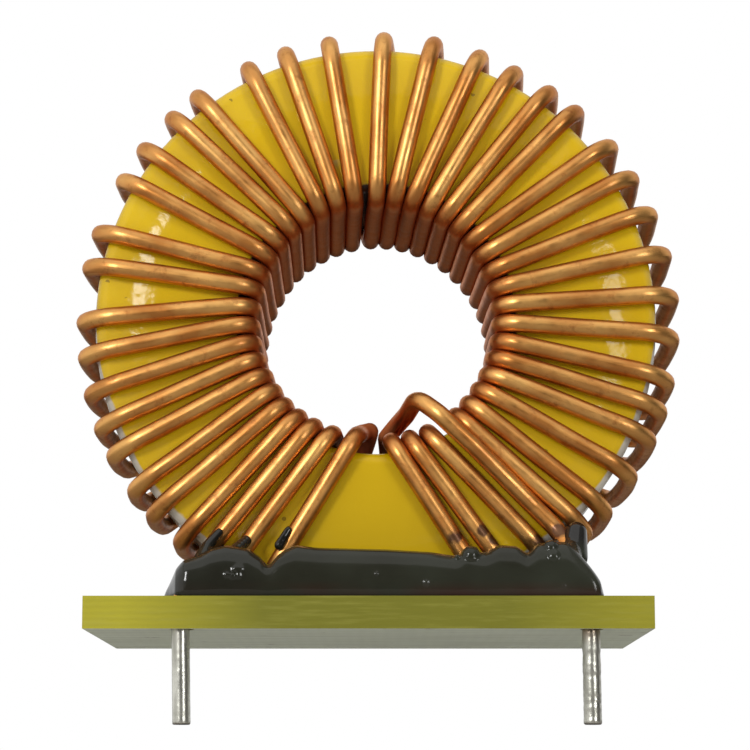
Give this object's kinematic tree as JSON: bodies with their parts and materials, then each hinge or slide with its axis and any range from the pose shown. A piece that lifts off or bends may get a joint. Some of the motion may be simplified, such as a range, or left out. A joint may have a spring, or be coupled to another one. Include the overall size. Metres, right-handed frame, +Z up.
{
  "type": "toroidal inductor",
  "caption": "Yellow ring core wound all round with one enamelled copper wire, standing upright on a flat fibreglass plate in black resin, with two tinned pins below",
  "frame": {"origin": "midway between the two pins, on the underside of the carrier plate, which is the face that seats on a board", "axes": "X along the line of the pins, Y from the pin side to the back along the core's own axis, Z up away from the board"},
  "size_m": [0.0359, 0.0201, 0.0417],
  "materials": {
    "core_paint": "glossy epoxy paint",
    "enamelled_copper": "glossy clear enamel over copper",
    "solder": "bright tin solder over stripped copper",
    "fibreglass": "sawn glass-fibre laminate",
    "black_resin": "glossy cast resin"
  },
  "bodies": {
    "root": {"core": "core_paint", "winding": "enamelled_copper", "pin_left": "solder", "pin_right": "solder", "carrier_plate": "fibreglass", "resin_bead": "black_resin"}
  },
  "joints": []
}
